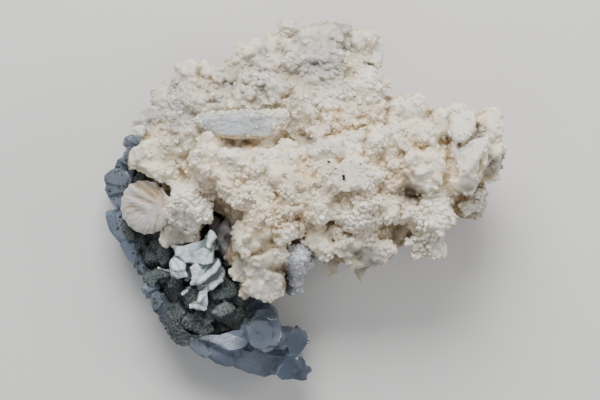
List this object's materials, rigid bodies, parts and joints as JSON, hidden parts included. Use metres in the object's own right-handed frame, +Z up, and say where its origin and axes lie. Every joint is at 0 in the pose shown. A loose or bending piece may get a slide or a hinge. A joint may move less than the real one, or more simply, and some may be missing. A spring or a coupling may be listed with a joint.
{
  "type": "calcite with quartz and chlorite mineral specimen",
  "caption": "Cabinet mineral specimen: cream calcite lumps and blades over a plate of blue-grey quartz crystals, with dark green chlorite in the hollow between them.",
  "frame": {"origin": "on the surface it rests on, under the middle of the specimen's outline", "axes": "+Z up, out of the display side; +X to the display side's right; +Y to its upper edge"},
  "size_m": [0.1289, 0.1163, 0.0455],
  "materials": {
    "quartz": "glassy, milky blue-grey, partly see-through crystals",
    "chlorite": "dull dark grey-green grains",
    "cream_calcite": "satin cream to peach, translucent at thin edges",
    "white_calcite": "glossy white cleavage faces",
    "peach_calcite": "satin cream-peach with fine ribs",
    "grey_calcite": "satin grey-white, glossy on its faces",
    "sugary_calcite": "granular, sparkling white-grey"
  },
  "bodies": {
    "root": {"quartz_plate": "quartz", "chlorite_crust": "chlorite", "calcite_crown": "cream_calcite", "white_blades": "white_calcite", "scalloped_shell": "peach_calcite", "long_blade": "grey_calcite", "sugary_finger": "sugary_calcite"}
  },
  "joints": []
}
